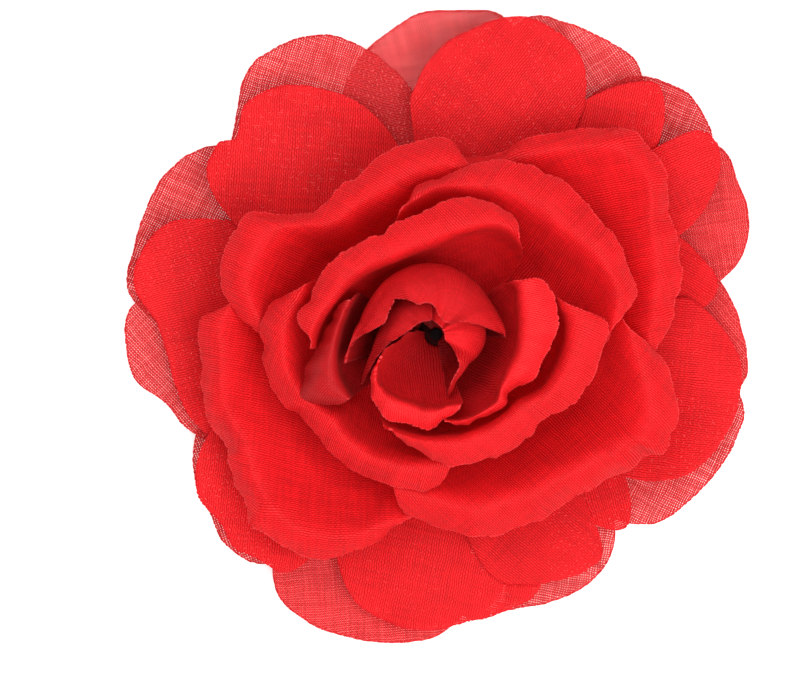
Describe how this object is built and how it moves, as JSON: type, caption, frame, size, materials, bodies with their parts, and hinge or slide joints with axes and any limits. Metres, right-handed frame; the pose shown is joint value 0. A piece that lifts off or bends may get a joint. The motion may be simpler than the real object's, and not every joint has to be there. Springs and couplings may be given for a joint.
{
  "type": "fabric rose",
  "caption": "Open rose head of cut cloth petals in rings round a wrapped bud, on a flat round felt backing disc",
  "frame": {"origin": "centre of the flat back face of the backing disc, on the axis of the bloom", "axes": "+Z out of the open face of the bloom, +Y towards the top of the picture, +X towards its right"},
  "size_m": [0.1082, 0.1097, 0.0359],
  "materials": {
    "petal_cloth": "soft woven sheen",
    "felt": "matt felt",
    "post": "matt"
  },
  "bodies": {
    "root": {"backing_disc": "felt", "core": "post", "sheer_a01": "petal_cloth", "sheer_a02": "petal_cloth", "sheer_a03": "petal_cloth", "sheer_a04": "petal_cloth", "sheer_a05": "petal_cloth", "sheer_a06": "petal_cloth", "sheer_a07": "petal_cloth", "sheer_a08": "petal_cloth", "sheer_a09": "petal_cloth", "sheer_a10": "petal_cloth", "sheer_a11": "petal_cloth", "sheer_a12": "petal_cloth", "sheer_b01": "petal_cloth", "sheer_b02": "petal_cloth", "sheer_b03": "petal_cloth", "sheer_b04": "petal_cloth", "sheer_b05": "petal_cloth", "sheer_b06": "petal_cloth", "sheer_b07": "petal_cloth", "sheer_b08": "petal_cloth", "sheer_b09": "petal_cloth", "sheer_b10": "petal_cloth", "sheer_b11": "petal_cloth", "cup_c1": "petal_cloth", "cup_c2": "petal_cloth", "cup_c3": "petal_cloth", "cup_c4": "petal_cloth", "cup_d1": "petal_cloth", "cup_d2": "petal_cloth", "cup_d3": "petal_cloth", "cup_d4": "petal_cloth", "bud_1": "petal_cloth", "bud_2": "petal_cloth", "bud_3": "petal_cloth", "bud_4": "petal_cloth", "bud_5": "petal_cloth", "bud_6": "petal_cloth"}
  },
  "joints": []
}
